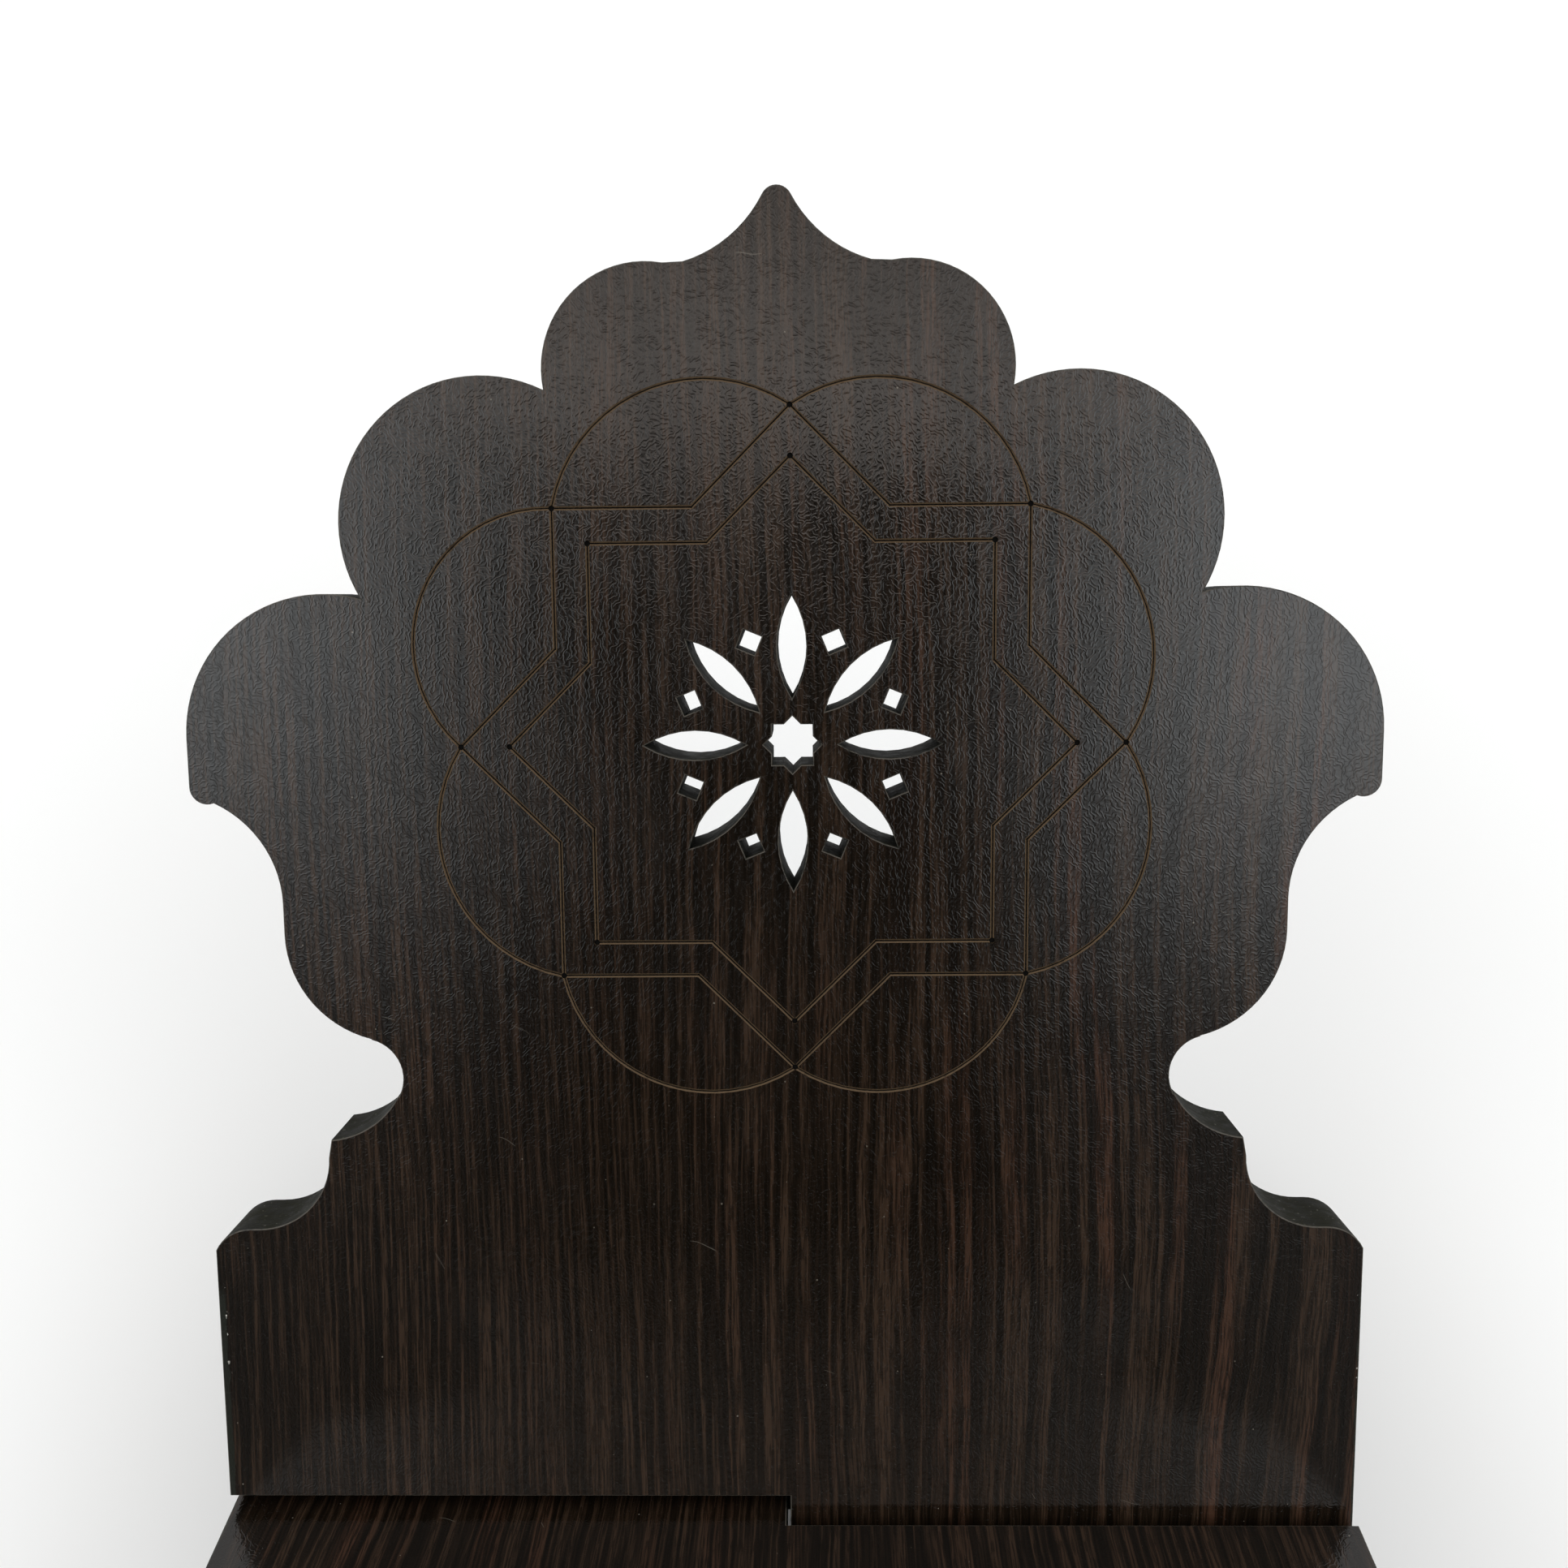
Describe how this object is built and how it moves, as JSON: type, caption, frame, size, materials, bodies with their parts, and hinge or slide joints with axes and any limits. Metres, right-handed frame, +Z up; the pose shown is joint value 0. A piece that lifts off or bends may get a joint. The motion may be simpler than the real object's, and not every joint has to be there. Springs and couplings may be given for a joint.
{
  "type": "quran stand",
  "caption": "Crossed reading stand of two slotted, lobed boards with engraved and pierced star rosettes; holds an open book in its cradle and comes apart flat.",
  "frame": {"origin": "centre of the footprint, on the floor", "axes": "+X along the crossing of the boards, +Y towards the back board's crown, +Z up"},
  "size_m": [0.27, 0.5004, 0.3166],
  "materials": {
    "painted_core": "fibreboard edge painted dark charcoal green, satin",
    "face_laminate": "wenge decor laminate, embossed, satin, with engraved grooves",
    "underside_laminate": "wenge decor laminate, embossed, satin"
  },
  "bodies": {
    "back_board": {"back_board_core": "painted_core", "back_board_face_laminate": "face_laminate", "back_board_underside_laminate": "underside_laminate"},
    "front_board": {"front_board_core": "painted_core", "front_board_face_laminate": "face_laminate", "front_board_underside_laminate": "underside_laminate"}
  },
  "joints": [
    {"name": "board_fold", "type": "hinge", "parent": "back_board", "child": "front_board", "pos_m": [0, 0, 0.11255], "axis": [-1, 0, 0], "range_deg": [0, 24]}
  ]
}
